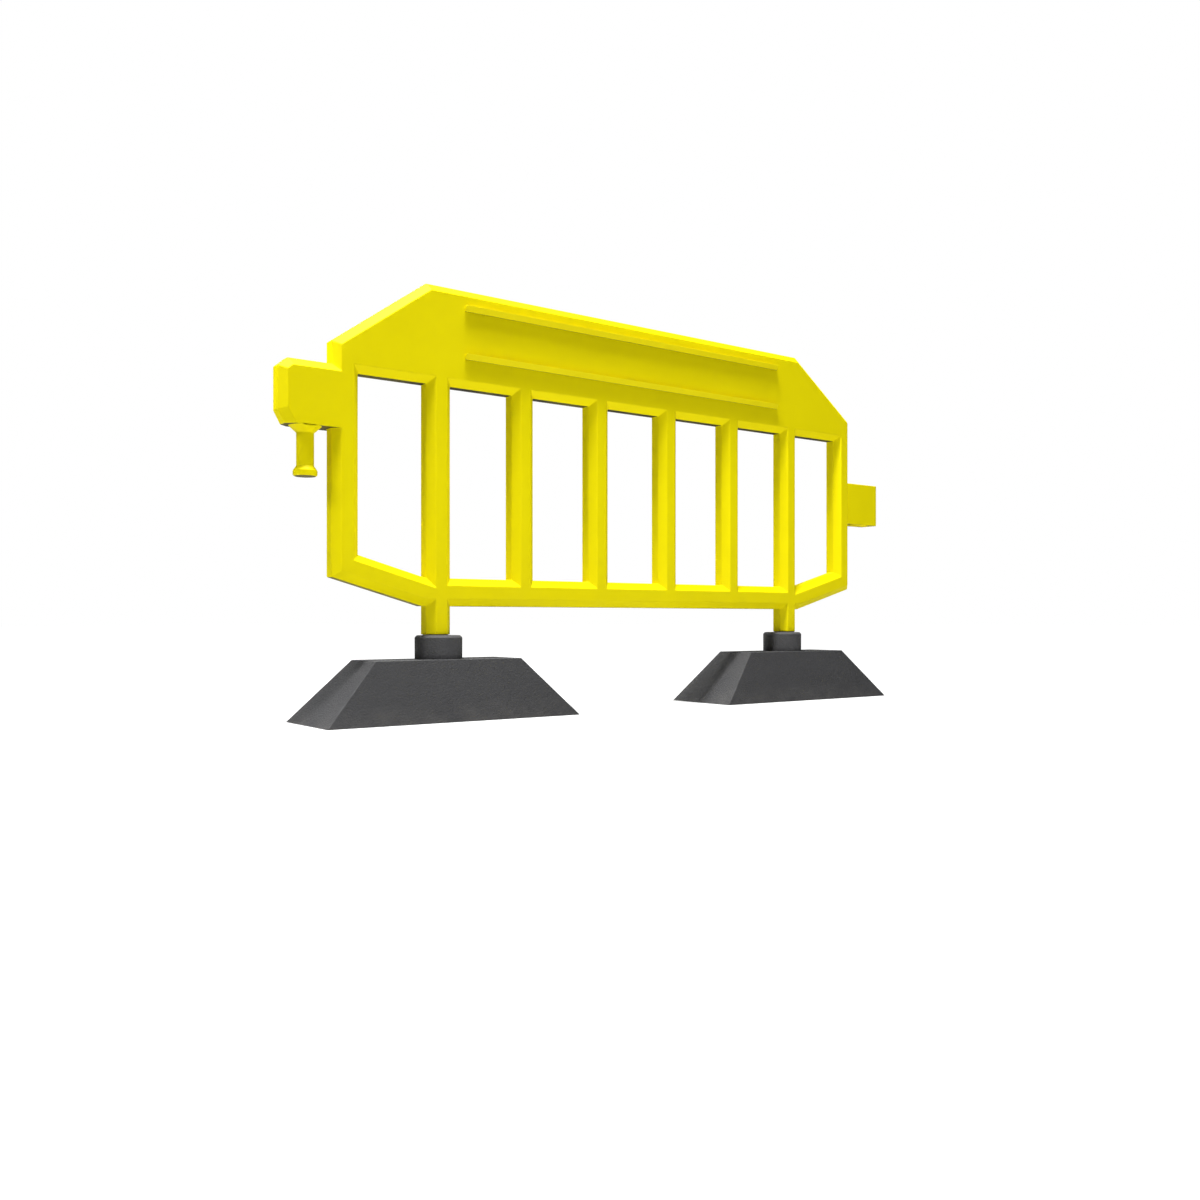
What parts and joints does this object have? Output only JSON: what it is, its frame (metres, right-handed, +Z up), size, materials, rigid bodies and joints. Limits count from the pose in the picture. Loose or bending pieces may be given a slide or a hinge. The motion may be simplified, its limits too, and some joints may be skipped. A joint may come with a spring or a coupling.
{
  "type": "pedestrian barrier",
  "caption": "Hollow plastic pedestrian barrier with bevelled bars, a solid top band, a link pin and socket, and swivelling rubber feet.",
  "frame": {"origin": "on the ground under the middle of the panel", "axes": "+X along the panel from the link pin to the link socket, +Y towards the rear, where the shell screws are, +Z up"},
  "size_m": [1.912, 0.232, 1],
  "materials": {
    "shell_plastic": "fine moulded grain, yellow",
    "link_plastic": "smooth moulded, yellow",
    "rail_plastic": "extruded, yellow",
    "foot_rubber": "moulded recycled rubber, dark grey",
    "bearing_plastic": "turned nylon",
    "galvanised_steel": "zinc plated",
    "plug_steel": "plain turned",
    "screw_steel": "bright zinc plated"
  },
  "bodies": {
    "panel": {"front_shell": "shell_plastic", "rear_shell": "shell_plastic", "shell_screws": "screw_steel", "link_pin": "link_plastic", "link_socket": "link_plastic", "upper_front_sign_rail": "rail_plastic", "lower_front_sign_rail": "rail_plastic", "upper_rear_sign_rail": "rail_plastic", "lower_rear_sign_rail": "rail_plastic", "left_leg_tube": "galvanised_steel", "left_tube_plug": "plug_steel", "left_thrust_washer": "bearing_plastic", "left_retaining_washer": "galvanised_steel", "left_retaining_bolt": "screw_steel", "right_leg_tube": "galvanised_steel", "right_tube_plug": "plug_steel", "right_thrust_washer": "bearing_plastic", "right_retaining_washer": "galvanised_steel", "right_retaining_bolt": "screw_steel"},
    "left_foot": {"left_foot_block": "foot_rubber", "left_foot_bush": "bearing_plastic"},
    "right_foot": {"right_foot_block": "foot_rubber", "right_foot_bush": "bearing_plastic"}
  },
  "joints": [
    {"name": "left_foot_swivel", "type": "hinge", "parent": "panel", "child": "left_foot", "pos_m": [-0.575, 0, 0.1], "axis": [0, 0, 1], "continuous": true},
    {"name": "right_foot_swivel", "type": "hinge", "parent": "panel", "child": "right_foot", "pos_m": [0.575, 0, 0.1], "axis": [0, 0, 1], "continuous": true}
  ]
}
